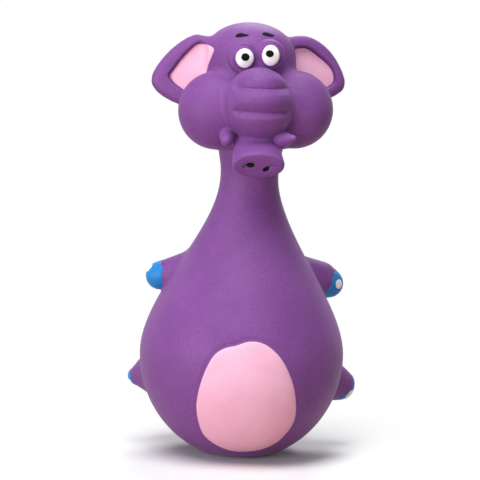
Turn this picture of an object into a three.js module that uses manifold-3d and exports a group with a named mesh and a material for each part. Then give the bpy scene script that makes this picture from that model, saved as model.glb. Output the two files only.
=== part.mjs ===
// Squeaky elephant: a hollow latex dog toy, painted by hand, with a reed squeaker plugged into its base.
// Millimetres, +Z up. The toy faces -Y, left is -X, and the origin is on the floor below the body's middle.
// The skin is divided along its flex lines and moulded creases, so that each stretch can move on its joint.

import * as THREE from 'three';
import { mergeVertices } from 'three/addons/utils/BufferGeometryUtils.js';
import Module from 'manifold-3d';

const wasm = await Module();
wasm.setup();

// Fits
const GAP = 0.3; // clearance between pieces that touch
const WALL = 2.2; // thickness of the latex skin
const PAINT = 0.5; // thickness of a coat of paint

// Body: an egg from the floor to its widest ring, then a long shoulder up to the neck
const BODY_RADIUS = 41.8;
const WAIST_HEIGHT = 42; // height of the widest ring
const BASE_RADIUS = 12.5; // flat ring that the toy stands on
const BASE_WALL = 3.6;
const NECK_RADIUS = 11.9;
const NECK_HEIGHT = 114; // height at which the neck becomes straight
const SHOULDER_PULL = 22.7; // how far the shoulder curve runs straight at each end
const SEAM_HEIGHT = 104; // ring on which the neck turns

// Belly: the oval stretch of skin that is pressed in, and its coat of pink paint
const PRESS_TILT = 22.5; // degrees by which the press runs upward
const PRESS_REACH = 60; // length of the press cut, from the body's middle to beyond its skin
const BELLY_HALF_WIDTH = 22.5;
const BELLY_HALF_HEIGHT = 27.5;
const PATCH_HALF_WIDTH = 20;
const PATCH_HALF_HEIGHT = 26;
const PATCH_EGG = 0.1; // share by which the patch narrows toward its top

// Head: the ball seat that it nods on, and the swells that make up its form, at heights from that seat
const NOD_HEIGHT = 131;
const NOD_RADIUS = 15;
const NOD_MOUTH = 8; // radius of the hole at the top of the neck's ball
const CROWN = { at: [0, 2, NOD_HEIGHT + 27], radii: [18.3, 17.5, 20] };
const JAW = { at: [0, 0, NOD_HEIGHT + 5.3], radii: [21, 18.5, 15] };
const CHEEK = { at: [15.5, -7, NOD_HEIGHT + 11.5], radii: [16.5, 15, 16.5] };
const UPPER_ROLL = { at: [0, -18, NOD_HEIGHT + 23], radii: [12.8, 11.7, 7] };
const MIDDLE_ROLL = { at: [0, -19.5, NOD_HEIGHT + 16.7], radii: [14, 12.5, 9] };
const LOWER_ROLL = { at: [0, -19.5, NOD_HEIGHT + 8.2], radii: [13.3, 12, 7.2] };
const ROLLS = [UPPER_ROLL, MIDDLE_ROLL, LOWER_ROLL];
// Joins the hollows of the crown, jaw and rolls
const THROAT = { at: [0, -8, NOD_HEIGHT + 16], radii: [10, 10, 8] };

// Eyes: a lid swell, a white ball and a pupil each, set a little unevenly by hand
const EYES = { left: [-4.7, NOD_HEIGHT + 33.3], right: [5.9, NOD_HEIGHT + 34.6] };
const LID_RADIUS = 5.8;
const LID_DEPTH = -11.5; // how far forward the lid swell's middle lies
const EYEBALL_RADIUS = 4.6;
const EYEBALL_DEPTH = -13.6;
const PUPIL_RADIUS = 1.55;
const BROWS = { left: [-5.2, NOD_HEIGHT + 42.4], right: [5.5, NOD_HEIGHT + 43] };
const BROW_LENGTH = 5.2;
const BROW_WIDTH = 1.5;
const FACE_REACH = 40; // length of the cuts that outline paint on the face

// Trunk tip: the snout below the deep crease, an oval stub with a flat end
const SNOUT_ROOT = [0, -18.5, NOD_HEIGHT - 0.5];
const SNOUT_LENGTH = 14.5;
const SNOUT_DROP = 35; // degrees below level
const SNOUT_HALF_WIDTH = 10.5;
const SNOUT_HALF_HEIGHT = 6.3;
const SNOUT_ROOT_SHARE = 0.92; // root width over end width
const SNOUT_EDGE = 0.8; // rounding of the end's rim
const SNOUT_HINGE = [0, -21.5, NOD_HEIGHT + 0.5];
const SNOUT_SWING = 10;
const SNOUT_NECK_CLEARANCE = 2; // kept from the neck's ball over the whole swing
const NOSTRIL_RADIUS = 1.4;
const NOSTRIL_SPREAD = 3.3;

// Tusks
const TUSK_ROOT = [10.5, -17, NOD_HEIGHT + 1.8];
const TUSK_DIRECTION = [0.66, -0.74, 0.05];
const TUSK_LENGTH = 9.5;
const TUSK_RADIUS = 3;

// Ears: outline in the ear's own plane, outward and up from the seat, from the root's top round to its foot
const EAR_OUTLINE = [
  [15.6, 41.7], [21.5, 42.6], [29.5, 38.5], [35, 32], [39, 25.2],
  [39.2, 19.5], [35.5, 15.6], [29.5, 13.6], [18, 19], [12, 31],
].map(([x, z]) => [x, NOD_HEIGHT + z]);
const EAR_ROOT_TOP = [15.6, 3, NOD_HEIGHT + 41.7];
const EAR_ROOT_FOOT = [29.5, 3, NOD_HEIGHT + 13.6];
const EAR_THICKNESS = 5;
const EAR_EDGE = 1.4; // rounding of the rim
const EAR_RIM = 4; // width of the purple rim round the pink lining
const EAR_RECESS = 1;
const EAR_SWEEP = 10; // degrees by which the ear leans back from its root
const EAR_SWING = 15;

// Limbs: stubs that taper to a round end, given for the side at +X
const LIMBS = {
  arm: {
    root: [BODY_RADIUS - 23.8, 5, 78], end: [BODY_RADIUS - 0.9, 9.2, 71.4],
    rootRadius: 9, endRadius: 7, round: 6.5,
  },
  leg: {
    root: [BODY_RADIUS - 19.8, 7, 36], end: [BODY_RADIUS + 5.6, 19.5, 26.2],
    rootRadius: 9.5, endRadius: 7.6, round: 6.5,
  },
};
const LIMB_SWING = 10;
const LIMB_PAINT_REACH = 8; // length of the blue end, along the limb
const NAIL_RADIUS = 2.3;

// Squeaker: a flanged cup in the base, holding a reed clamped between two half-round blocks
const CUP_RADIUS = 7.1;
const CUP_WALL = 1.2;
const CUP_TOP = 16;
const CUP_RAISE = 0.5; // height of the flange above the floor
const FLANGE_RADIUS = 8.6;
const FLANGE_THICKNESS = 0.8;
const BEAD_RADIUS = 8.2;
const BEAD_LENGTH = 1.2;
const AIR_HOLE_RADIUS = 1.5;
const CAP_THICKNESS = 1.2;
const CAP_PLUG = 3; // depth of the cap's plug inside the cup
const CAP_SLOT_WIDTH = 1.6;
const CAP_SLOT_LENGTH = 7;
const CAP_SLOT_PITCH = 4;
const REED_WIDTH = 3.8;
const REED_THICKNESS = 0.3;
const REED_TAIL = 6; // free length below the clamp
const REED_CLAMP = 3.6; // length held by the clamp
const REED_RELIEF = 1; // depth of the free space behind the reed
const CHANNEL_WIDTH = 2.4;
const CHANNEL_DEPTH = 1.6;

// Facets
const BODY_SIDES = 32;
const BODY_RINGS = 7;
const NECK_SIDES = 24;
const BALL_RINGS = 5;
const SWELL_SIDES = 18;
const SMALL_SIDES = 12;
const LIMB_SIDES = 16;
const OUTLINE_STEPS = 24;
const MERGE_DISTANCE = 1e-3;

// Finishes
const finish = (color, roughness) => new THREE.MeshStandardMaterial({ color, roughness, metalness: 0 });
const LATEX = finish('#915ca7', 0.6);
const PINK = finish('#f4b8d2', 0.55);
const BLUE = finish('#3592d6', 0.45);
const WHITE = finish('#e6e2e0', 0.45);
const BLACK = finish('#1d1a1d', 0.4);
const PLASTIC = finish('#e8e5da', 0.4);
const FILM = finish('#d8dde0', 0.3);

const rad = THREE.MathUtils.degToRad;
const vec = (xyz) => new THREE.Vector3(...xyz);
const mirrored = ([x, y, z], side) => [x * side, y, z];
const SIDES = { left: -1, right: 1 };

// A closed geometry as a solid with its faces pointing out, moved by a matrix
function solidOf(geometry, place = new THREE.Matrix4()) {
  const bare = geometry.clone().applyMatrix4(place);
  bare.deleteAttribute('normal');
  bare.deleteAttribute('uv');
  const merged = mergeVertices(bare, MERGE_DISTANCE);
  const points = merged.attributes.position;
  const corner = [0, 1, 2].map(() => new THREE.Vector3());
  const triangles = [];
  let volume = 0;
  for (let i = 0; i < merged.index.count; i += 3) {
    const [a, b, c] = [0, 1, 2].map((k) => merged.index.getX(i + k));
    if (a === b || b === c || c === a) continue;
    [a, b, c].forEach((vertex, k) => corner[k].fromBufferAttribute(points, vertex));
    volume += corner[0].dot(corner[1].cross(corner[2]));
    triangles.push([a, b, c]);
  }
  const facing = volume < 0 ? triangles.map(([a, b, c]) => [a, c, b]) : triangles;
  const vertProperties = new Float32Array(points.array);
  const triVerts = new Uint32Array(facing.flat());
  return new wasm.Manifold(new wasm.Mesh({ numProp: 3, vertProperties, triVerts }));
}

// A solid back as a geometry
function geometryOf(solid) {
  const mesh = solid.getMesh();
  const geometry = new THREE.BufferGeometry();
  geometry.setAttribute('position', new THREE.BufferAttribute(new Float32Array(mesh.vertProperties), 3));
  geometry.setIndex(new THREE.BufferAttribute(new Uint32Array(mesh.triVerts), 1));
  geometry.computeVertexNormals();
  return geometry;
}

const union = (solids) => solids.reduce((all, solid) => all.add(solid));

// A frame whose Y axis runs along a direction and whose X axis stays as level as it can
function along(start, direction) {
  const y = vec(direction).normalize();
  const level = new THREE.Vector3(0, 0, 1).cross(y);
  const x = level.lengthSq() > 1e-6 ? level.normalize() : new THREE.Vector3(1, 0, 0);
  const z = new THREE.Vector3().crossVectors(x, y);
  return new THREE.Matrix4().makeBasis(x, y, z).setPosition(vec(start));
}

// A turn about a line through a point
function turn(point, axis, degrees) {
  const there = new THREE.Matrix4().makeTranslation(...point);
  const back = there.clone().invert();
  const rotation = new THREE.Matrix4().makeRotationAxis(vec(axis).normalize(), rad(degrees));
  return there.multiply(rotation).multiply(back);
}

// What is left of a piece that stays clear of its neighbour over a swing about a hinge
function clearOfSwing(piece, neighbour, point, axis, swing) {
  const angles = [-swing, 0, swing];
  return angles.reduce((left, angle) => left.subtract(solidOf(neighbour, turn(point, axis, angle))), piece);
}

// A solid of revolution about Z from a closed or axis-to-axis profile of [radius, height]
function revolved(profile, sides, place = new THREE.Matrix4()) {
  const points = profile.map(([radius, height]) => new THREE.Vector2(radius, height));
  const upright = new THREE.Matrix4().makeRotationX(Math.PI / 2);
  return solidOf(new THREE.LatheGeometry(points, sides), place.clone().multiply(upright));
}

// The same about a frame's own Y axis
function revolvedAlong(profile, sides, frame) {
  const points = profile.map(([radius, height]) => new THREE.Vector2(radius, height));
  return solidOf(new THREE.LatheGeometry(points, sides), frame);
}

const closed = (profile) => [...profile, profile[0]];

// An ellipsoid, grown evenly
function swell({ at, radii }, grow = 0, sides = SWELL_SIDES) {
  const scale = radii.map((radius) => radius + grow);
  const place = new THREE.Matrix4().makeTranslation(...at).scale(vec(scale));
  return solidOf(new THREE.SphereGeometry(1, sides, Math.round(sides * 0.6)), place);
}

// A closed smooth outline through a few points, as evenly spaced points
function smoothOutline(points) {
  const ring = points.map(([x, y]) => new THREE.Vector3(x, y, 0));
  const curve = new THREE.CatmullRomCurve3(ring, true, 'centripetal');
  return curve.getSpacedPoints(OUTLINE_STEPS).slice(0, -1).map(({ x, y }) => new THREE.Vector2(x, y));
}

function ovalOutline(halfWidth, halfHeight, egg = 0) {
  return Array.from({ length: OUTLINE_STEPS }, (_, step) => {
    const angle = (step / OUTLINE_STEPS) * 2 * Math.PI;
    const across = halfWidth * Math.cos(angle) * (1 - egg * Math.sin(angle));
    return new THREE.Vector2(across, halfHeight * Math.sin(angle));
  });
}

// An outline moved inward (or outward, where the distance is negative) along its own normals
function inset(outline, distance) {
  const turnSign = Math.sign(THREE.ShapeUtils.area(outline));
  return outline.map((point, i) => {
    const before = outline[(i + outline.length - 1) % outline.length];
    const after = outline[(i + 1) % outline.length];
    const run = after.clone().sub(before).normalize();
    return new THREE.Vector2(point.x - run.y * distance * turnSign, point.y + run.x * distance * turnSign);
  });
}

function prism(outline, depth, place, bevel = 0) {
  const options = {
    depth: depth - 2 * bevel,
    bevelEnabled: bevel > 0,
    bevelThickness: bevel,
    bevelSize: bevel,
    bevelOffset: -bevel,
    bevelSegments: 2,
  };
  const shift = place.clone().multiply(new THREE.Matrix4().makeTranslation(0, 0, bevel));
  return solidOf(new THREE.ExtrudeGeometry(new THREE.Shape(outline), options), shift);
}

function block([width, depth, height], [x, y, z]) {
  const place = new THREE.Matrix4().makeTranslation(x, y, z);
  return solidOf(new THREE.BoxGeometry(width, depth, height), place);
}

// Body profile from the base's edge to the neck, as [radius, height], grown along its own normals
function bodyProfile(grow) {
  const drop = WAIST_HEIGHT / Math.sqrt(1 - (BASE_RADIUS / BODY_RADIUS) ** 2);
  const lowest = Math.acos(BASE_RADIUS / BODY_RADIUS);
  const profile = [];
  for (let ring = 0; ring < BODY_RINGS; ring += 1) {
    const angle = lowest * (1 - ring / BODY_RINGS);
    const normal = new THREE.Vector2(Math.cos(angle) / BODY_RADIUS, -Math.sin(angle) / drop).normalize();
    const radius = BODY_RADIUS * Math.cos(angle);
    const height = WAIST_HEIGHT - drop * Math.sin(angle);
    profile.push([radius + grow * normal.x, height + grow * normal.y]);
  }
  const shoulder = new THREE.CubicBezierCurve(
    new THREE.Vector2(BODY_RADIUS, WAIST_HEIGHT),
    new THREE.Vector2(BODY_RADIUS, WAIST_HEIGHT + SHOULDER_PULL),
    new THREE.Vector2(NECK_RADIUS, NECK_HEIGHT - SHOULDER_PULL),
    new THREE.Vector2(NECK_RADIUS, NECK_HEIGHT),
  );
  for (let ring = 0; ring <= BODY_RINGS; ring += 1) {
    const point = shoulder.getPoint(ring / BODY_RINGS);
    const run = shoulder.getTangent(ring / BODY_RINGS);
    profile.push([point.x + grow * run.y, point.y - grow * run.x]);
  }
  return profile;
}

// The point of a rising profile at a height, and its stretches below and above a height. Above its end
// the neck runs straight on
function profileAt(profile, height) {
  const [endRadius, endHeight] = profile.at(-1);
  if (height > endHeight) {
    return [endRadius, height];
  }
  const i = profile.findIndex(([, z], k) => k > 0 && z >= height);
  const [[r0, z0], [r1, z1]] = [profile[i - 1], profile[i]];
  return [r0 + ((r1 - r0) * (height - z0)) / (z1 - z0), height];
}

const below = (profile, height) => [
  ...profile.filter(([, z]) => z < height - GAP),
  profileAt(profile, height),
];
const above = (profile, height) => [
  profileAt(profile, height),
  ...profile.filter(([, z]) => z > height + GAP),
];

// The whole body as one plain solid, grown evenly
function bodySolid(grow) {
  const profile = bodyProfile(grow);
  const bottom = profile[0][1];
  return revolved([[0, bottom], ...profile, [0, NECK_HEIGHT]], BODY_SIDES);
}

// Base and body
const RECESS_RADIUS = FLANGE_RADIUS + GAP;
const RECESS_DEPTH = CUP_RAISE + FLANGE_THICKNESS + GAP;
const PLUG_HOLE_RADIUS = CUP_RADIUS + GAP;

function bodySkin() {
  const top = SEAM_HEIGHT - GAP / 2;
  const outside = below(bodyProfile(0), top);
  const inside = above(below(bodyProfile(-WALL), top), BASE_WALL).reverse();
  const seat = [
    [PLUG_HOLE_RADIUS, BASE_WALL],
    [PLUG_HOLE_RADIUS, RECESS_DEPTH],
    [RECESS_RADIUS, RECESS_DEPTH],
    [RECESS_RADIUS, 0],
  ];
  return revolved(closed([...seat, ...outside, ...inside]), BODY_SIDES);
}

// Cut along the belly's press, from the body's middle outward
const pressUp = [0, -Math.sin(rad(PRESS_TILT)), Math.cos(rad(PRESS_TILT))];
const pressOut = [0, -Math.cos(rad(PRESS_TILT)), -Math.sin(rad(PRESS_TILT))];
const pressFrame = new THREE.Matrix4()
  .makeBasis(vec([1, 0, 0]), vec(pressUp), vec(pressOut))
  .setPosition(0, 0, WAIST_HEIGHT);
const pressCut = (outline) => prism(outline, PRESS_REACH, pressFrame);
const bellyCut = (grow) => pressCut(ovalOutline(BELLY_HALF_WIDTH + grow, BELLY_HALF_HEIGHT + grow));

const skin = bodySkin();
const bodyShell = skin.subtract(bellyCut(GAP));
const bellyWall = skin.intersect(bellyCut(0));
const bellyPatch = bodySolid(GAP + PAINT)
  .subtract(bodySolid(GAP))
  .intersect(pressCut(ovalOutline(PATCH_HALF_WIDTH, PATCH_HALF_HEIGHT, PATCH_EGG)));

// Neck: a sleeve that ends in the hollow ball that the head nods on
function neckSleeve() {
  const bottom = SEAM_HEIGHT + GAP / 2;
  const ballArc = (radius, tube) => {
    const low = Math.asin(tube / radius);
    const high = Math.PI - Math.asin(NOD_MOUTH / radius);
    return Array.from({ length: BALL_RINGS + 1 }, (_, ring) => {
      const angle = low + ((high - low) * ring) / BALL_RINGS;
      return [radius * Math.sin(angle), NOD_HEIGHT - radius * Math.cos(angle)];
    });
  };
  const outside = [...above(bodyProfile(0), bottom), ...ballArc(NOD_RADIUS, NECK_RADIUS)];
  const innerTube = above(bodyProfile(-WALL), bottom);
  const inside = [...innerTube, ...ballArc(NOD_RADIUS - WALL, NECK_RADIUS - WALL)].reverse();
  return revolved(closed([...outside, ...inside]), NECK_SIDES);
}

// Head
const lid = ([x, z]) => ({ at: [x, LID_DEPTH, z], radii: [LID_RADIUS, LID_RADIUS, LID_RADIUS] });
const eyeball = ([x, z]) => ({ at: [x, EYEBALL_DEPTH, z], radii: Array(3).fill(EYEBALL_RADIUS) });
const cheeks = Object.values(SIDES).map((side) => ({ ...CHEEK, at: mirrored(CHEEK.at, side) }));

function headSolid(grow) {
  const large = [CROWN, JAW, ...cheeks, ...ROLLS].map((part) => swell(part, grow));
  const lids = Object.values(EYES).map((eye) => swell(lid(eye), grow, SMALL_SIDES));
  return union([...large, ...lids]);
}

function headShell() {
  const hollow = [CROWN, JAW, ...cheeks, MIDDLE_ROLL, THROAT].map((part) => swell(part, -WALL, SMALL_SIDES));
  const ball = { at: [0, 0, NOD_HEIGHT], radii: Array(3).fill(NOD_RADIUS + GAP) };
  return headSolid(0).subtract(union(hollow)).subtract(swell(ball, 0, NECK_SIDES));
}

const headCutter = geometryOf(headSolid(GAP));
const headPaint = headSolid(GAP + PAINT).subtract(solidOf(headCutter));

// A cut that runs straight forward out of the face from a depth, outlined in x and z
const faceFrame = new THREE.Matrix4()
  .makeBasis(vec([1, 0, 0]), vec([0, 0, 1]), vec([0, -1, 0]));
const faceCut = (outline, [x, z], depth = 0) => {
  const place = new THREE.Matrix4().makeTranslation(x, depth, z).multiply(faceFrame);
  return prism(outline, FACE_REACH, place);
};

const eyeWhite = (eye) => swell(eyeball(eye), 0, SMALL_SIDES).subtract(solidOf(headCutter));
const pupil = (eye) => swell(eyeball(eye), GAP + PAINT, SMALL_SIDES)
  .subtract(swell(eyeball(eye), GAP, SMALL_SIDES))
  .intersect(faceCut(ovalOutline(PUPIL_RADIUS, PUPIL_RADIUS), eye, EYEBALL_DEPTH));
const brow = (place) => headPaint.intersect(faceCut(ovalOutline(BROW_LENGTH / 2, BROW_WIDTH / 2), place));

// Trunk tip: an oval stub along a falling axis, clear of the head over its swing
const snoutRun = [0, -Math.cos(rad(SNOUT_DROP)), -Math.sin(rad(SNOUT_DROP))];
const snoutOval = new THREE.Matrix4().makeScale(1, 1, SNOUT_HALF_HEIGHT / SNOUT_HALF_WIDTH);
const snoutFrame = along(SNOUT_ROOT, snoutRun).multiply(snoutOval);

function snoutStub(grow) {
  const end = SNOUT_HALF_WIDTH + grow;
  const length = SNOUT_LENGTH + grow;
  const profile = [
    [0, -grow],
    [end * SNOUT_ROOT_SHARE, -grow],
    [end, length - SNOUT_EDGE],
    [end - SNOUT_EDGE, length],
    [0, length],
  ];
  return revolvedAlong(profile, SWELL_SIDES, snoutFrame);
}

const neckBall = { at: [0, 0, NOD_HEIGHT], radii: [NOD_RADIUS, NOD_RADIUS, NOD_RADIUS] };
const neckCutter = geometryOf(swell(neckBall, SNOUT_NECK_CLEARANCE));
const trunkTip = [headCutter, neckCutter].reduce(
  (tip, cutter) => clearOfSwing(tip, cutter, SNOUT_HINGE, [1, 0, 0], SNOUT_SWING),
  snoutStub(0),
);

function nostril(side) {
  const floor = SNOUT_LENGTH + GAP;
  const profile = [[0, floor], [NOSTRIL_RADIUS, floor], [NOSTRIL_RADIUS, floor + PAINT], [0, floor + PAINT]];
  const aside = new THREE.Matrix4().makeTranslation(NOSTRIL_SPREAD * side, 0, 0);
  return revolvedAlong(profile, SMALL_SIDES, snoutFrame.clone().multiply(aside));
}

// Tusks: short blunt cones, clear of the head and of the swinging snout
function tusk(side) {
  const profile = [
    [0, 0],
    [TUSK_RADIUS, 0],
    [TUSK_RADIUS * 0.75, TUSK_LENGTH * 0.6],
    [TUSK_RADIUS * 0.4, TUSK_LENGTH * 0.93],
    [0, TUSK_LENGTH],
  ];
  const frame = along(mirrored(TUSK_ROOT, side), mirrored(TUSK_DIRECTION, side));
  const cone = revolvedAlong(profile, SMALL_SIDES, frame).subtract(solidOf(headCutter));
  return clearOfSwing(cone, geometryOf(snoutStub(GAP)), SNOUT_HINGE, [1, 0, 0], SNOUT_SWING);
}

// Ears: thick plates with a rounded rim and a shallow recess, leaning back from their root line
function ear(side) {
  const outline = smoothOutline(EAR_OUTLINE.map(([x, z]) => [x * side, z]));
  const root = mirrored(EAR_ROOT_TOP, side);
  const foot = mirrored(EAR_ROOT_FOOT, side);
  const axis = foot.map((value, i) => value - root[i]);
  const lean = turn(root, axis, EAR_SWEEP * side);
  const layer = (front) => lean.clone()
    .multiply(new THREE.Matrix4().makeTranslation(0, root[1] + EAR_THICKNESS / 2 - front, 0))
    .multiply(faceFrame);
  const floor = EAR_THICKNESS - EAR_RECESS;
  const recess = prism(inset(outline, EAR_RIM), EAR_THICKNESS, layer(floor));
  const plate = prism(outline, EAR_THICKNESS, layer(0), EAR_EDGE).subtract(recess);
  const lining = prism(inset(outline, EAR_RIM + GAP), PAINT, layer(floor + GAP));
  const clear = (piece) => clearOfSwing(piece, headCutter, root, axis, EAR_SWING);
  return { plate: clear(plate), lining: clear(lining) };
}

// Limbs: a tapered stub, its blue end and the white spot on it
function limb({ root, end, rootRadius, endRadius, round }, side) {
  const start = mirrored(root, side);
  const run = mirrored(end, side).map((value, i) => value - start[i]);
  const length = vec(run).length();
  const frame = along(start, run);
  const taper = (rootRadius - endRadius) / (length - round);
  const tip = (grow, from, to, steps) => Array.from({ length: steps + 1 }, (_, step) => {
    const angle = from + ((to - from) * step) / steps;
    return [(endRadius + grow) * Math.cos(angle), length - round + (round + grow) * Math.sin(angle)];
  });
  const nailAngle = (radius) => Math.acos(radius / endRadius);
  const pole = Math.PI / 2;
  const cuff = (grow) => {
    const back = LIMB_PAINT_REACH - round;
    return [endRadius + taper * back + grow, length - LIMB_PAINT_REACH];
  };
  const stub = [[0, 0], [rootRadius, 0], ...tip(0, 0, pole, 4)];
  const coat = (from, to, steps) => [
    ...tip(GAP, from, to, steps),
    ...tip(GAP + PAINT, from, to, steps).reverse(),
  ];
  const paintEdge = nailAngle(NAIL_RADIUS + GAP);
  const paint = [
    cuff(GAP),
    ...coat(0, paintEdge, 3),
    cuff(GAP + PAINT),
  ];
  const nail = coat(nailAngle(NAIL_RADIUS), pole, 2);
  const hinge = surfacePoint(start, run);
  const axis = vec(run).cross(new THREE.Vector3(0, 0, 1)).toArray();
  const clear = (piece) => clearOfSwing(piece, bodyCutter, hinge, axis, LIMB_SWING);
  return {
    stub: clear(revolvedAlong(stub, LIMB_SIDES, frame)),
    paint: clear(revolvedAlong(closed(paint), LIMB_SIDES, frame)),
    nail: revolvedAlong(closed(nail), SMALL_SIDES, frame),
  };
}

const bodyCutter = geometryOf(bodySolid(GAP));

// Where a line from inside the body comes out of its skin
function surfacePoint(start, run) {
  const ray = new THREE.Raycaster(vec(start), vec(run).normalize());
  const hull = new THREE.Mesh(bodyCutter, new THREE.MeshBasicMaterial({ side: THREE.DoubleSide }));
  return ray.intersectObject(hull)[0].point.toArray();
}

// Squeaker
const CUP_FLOOR = CUP_RAISE + CUP_WALL;
const CUP_BORE = CUP_RADIUS - CUP_WALL;
const BLOCK_RADIUS = CUP_BORE - GAP;
const BLOCK_FOOT = CUP_FLOOR + GAP;
const REED_FACE = REED_THICKNESS / 2 + GAP; // face of either block, from the reed's middle
const REED_FOOT = BLOCK_FOOT + REED_THICKNESS + GAP;
const CLAMP_HEIGHT = REED_FOOT + REED_TAIL;
const BLOCK_TOP = CLAMP_HEIGHT + REED_CLAMP + GAP;
const PLUG_FOOT = CUP_TOP + GAP - CAP_PLUG;

function squeakerCup() {
  const bead = BASE_WALL + GAP;
  const profile = [
    [AIR_HOLE_RADIUS, CUP_RAISE],
    [FLANGE_RADIUS, CUP_RAISE],
    [FLANGE_RADIUS, CUP_RAISE + FLANGE_THICKNESS],
    [CUP_RADIUS, CUP_RAISE + FLANGE_THICKNESS],
    [CUP_RADIUS, bead],
    [BEAD_RADIUS, bead],
    [CUP_RADIUS, bead + BEAD_LENGTH],
    [CUP_RADIUS, CUP_TOP],
    [CUP_BORE, CUP_TOP],
    [CUP_BORE, CUP_FLOOR],
    [AIR_HOLE_RADIUS, CUP_FLOOR],
  ];
  return revolved(closed(profile), SWELL_SIDES);
}

function squeakerCap() {
  const bottom = CUP_TOP + GAP;
  const top = bottom + CAP_THICKNESS;
  const profile = [
    [0, bottom],
    [BLOCK_RADIUS - CUP_WALL, bottom],
    [BLOCK_RADIUS - CUP_WALL, PLUG_FOOT],
    [BLOCK_RADIUS, PLUG_FOOT],
    [BLOCK_RADIUS, bottom],
    [CUP_RADIUS, bottom],
    [CUP_RADIUS, top],
    [0, top],
  ];
  const slots = [-0.5, 0.5].map((place) => block(
    [CAP_SLOT_LENGTH, CAP_SLOT_WIDTH, 4 * CAP_THICKNESS],
    [0, place * CAP_SLOT_PITCH, bottom + CAP_THICKNESS / 2],
  ));
  return revolved(profile, SWELL_SIDES).subtract(union(slots));
}

// A half-round block behind (+1) or before (-1) the reed, set back where the reed is free
function halfRound(side) {
  const height = BLOCK_TOP - BLOCK_FOOT;
  const profile = [[0, BLOCK_FOOT], [BLOCK_RADIUS, BLOCK_FOOT], [BLOCK_RADIUS, BLOCK_TOP], [0, BLOCK_TOP]];
  const bar = revolved(profile, SWELL_SIDES);
  const away = 2 * BLOCK_RADIUS;
  const cut = (face, low, high) => block(
    [2 * away, away, high - low],
    [0, side * (face - away / 2), (low + high) / 2],
  );
  const beyond = height;
  return bar
    .subtract(cut(REED_FACE, BLOCK_FOOT - beyond, BLOCK_TOP + beyond))
    .subtract(cut(REED_FACE + REED_RELIEF, BLOCK_FOOT - beyond, CLAMP_HEIGHT));
}

function reedBlock() {
  const tall = CLAMP_HEIGHT - BLOCK_FOOT;
  const face = REED_FACE + REED_RELIEF;
  const channel = block(
    [CHANNEL_WIDTH, 2 * CHANNEL_DEPTH, 2 * tall],
    [0, face, BLOCK_FOOT],
  );
  return halfRound(1).subtract(channel);
}

const reed = () => block(
  [REED_WIDTH, REED_THICKNESS, REED_TAIL + REED_CLAMP],
  [0, 0, REED_FOOT + (REED_TAIL + REED_CLAMP) / 2],
);

// Assembly
const piece = (name, solid, material) => {
  const mesh = new THREE.Mesh(geometryOf(solid), material);
  mesh.name = name;
  return mesh;
};
const group = (...pieces) => new THREE.Group().add(...pieces);

const limbGroup = (kind, end, side) => {
  const { stub, paint, nail } = limb(LIMBS[kind], SIDES[side]);
  return group(
    piece(`${kind}_${side}`, stub, LATEX),
    piece(`${end}_paint_${side}`, paint, BLUE),
    piece(`${end}_nail_${side}`, nail, WHITE),
  );
};

const earGroup = (side) => {
  const { plate, lining } = ear(SIDES[side]);
  return group(piece(`ear_${side}`, plate, LATEX), piece(`ear_lining_${side}`, lining, PINK));
};

const eyeGroup = (side) => group(
  piece(`eye_white_${side}`, eyeWhite(EYES[side]), WHITE),
  piece(`pupil_${side}`, pupil(EYES[side]), BLACK),
  piece(`brow_${side}`, brow(BROWS[side]), BLACK),
);

const trunkGroup = group(
  piece('trunk_tip', trunkTip, LATEX),
  ...Object.keys(SIDES).map((side) => piece(`nostril_${side}`, nostril(SIDES[side]), BLACK)),
);

const headGroup = group(
  piece('head_shell', headShell(), LATEX),
  ...Object.keys(SIDES).map((side) => piece(`tusk_${side}`, tusk(SIDES[side]), LATEX)),
  ...Object.keys(SIDES).map(eyeGroup),
  ...Object.keys(SIDES).map(earGroup),
  trunkGroup,
);

const squeakerGroup = group(
  piece('squeaker_cup', squeakerCup(), PLASTIC),
  piece('squeaker_cap', squeakerCap(), PLASTIC),
  piece('reed_block', reedBlock(), PLASTIC),
  piece('reed_wedge', halfRound(-1), PLASTIC),
  piece('reed', reed(), FILM),
);

const toy = group(
  piece('body_shell', bodyShell, LATEX),
  group(piece('belly_wall', bellyWall, LATEX), piece('belly_patch', bellyPatch, PINK)),
  piece('neck_sleeve', neckSleeve(), LATEX),
  headGroup,
  ...Object.keys(SIDES).map((side) => limbGroup('arm', 'hand', side)),
  ...Object.keys(SIDES).map((side) => limbGroup('leg', 'foot', side)),
  squeakerGroup,
);

export default toy;
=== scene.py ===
"""A squeaky elephant of purple latex, painted by hand. Lengths are millimetres until a mesh is made.

The soft skin is given by distance fields: one for the body with its limbs, one for the head, and one for the
fillet at the nape. The first two are meshed once each and cut into the stretches that move, and the paint is
laid onto the same fields. A hold is the width of the fillet with which one form runs into the next.
"""

import functools
import math

import bpy
import numpy as np
from mathutils import Matrix


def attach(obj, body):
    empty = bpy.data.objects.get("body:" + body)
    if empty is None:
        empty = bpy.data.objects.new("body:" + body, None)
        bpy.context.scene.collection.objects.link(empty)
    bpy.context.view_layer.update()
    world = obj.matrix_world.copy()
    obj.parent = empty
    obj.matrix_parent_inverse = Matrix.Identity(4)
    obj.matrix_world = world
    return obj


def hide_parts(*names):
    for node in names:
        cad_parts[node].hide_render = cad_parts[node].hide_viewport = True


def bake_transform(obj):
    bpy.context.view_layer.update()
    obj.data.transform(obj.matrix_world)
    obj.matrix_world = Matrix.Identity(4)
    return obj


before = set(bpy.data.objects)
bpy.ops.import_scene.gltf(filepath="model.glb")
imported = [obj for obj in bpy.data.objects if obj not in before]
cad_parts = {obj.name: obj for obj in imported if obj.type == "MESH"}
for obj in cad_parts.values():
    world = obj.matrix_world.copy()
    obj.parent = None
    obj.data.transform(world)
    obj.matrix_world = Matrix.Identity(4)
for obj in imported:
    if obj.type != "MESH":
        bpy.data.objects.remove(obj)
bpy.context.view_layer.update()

MM = 0.001
TINY = 1e-9
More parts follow.
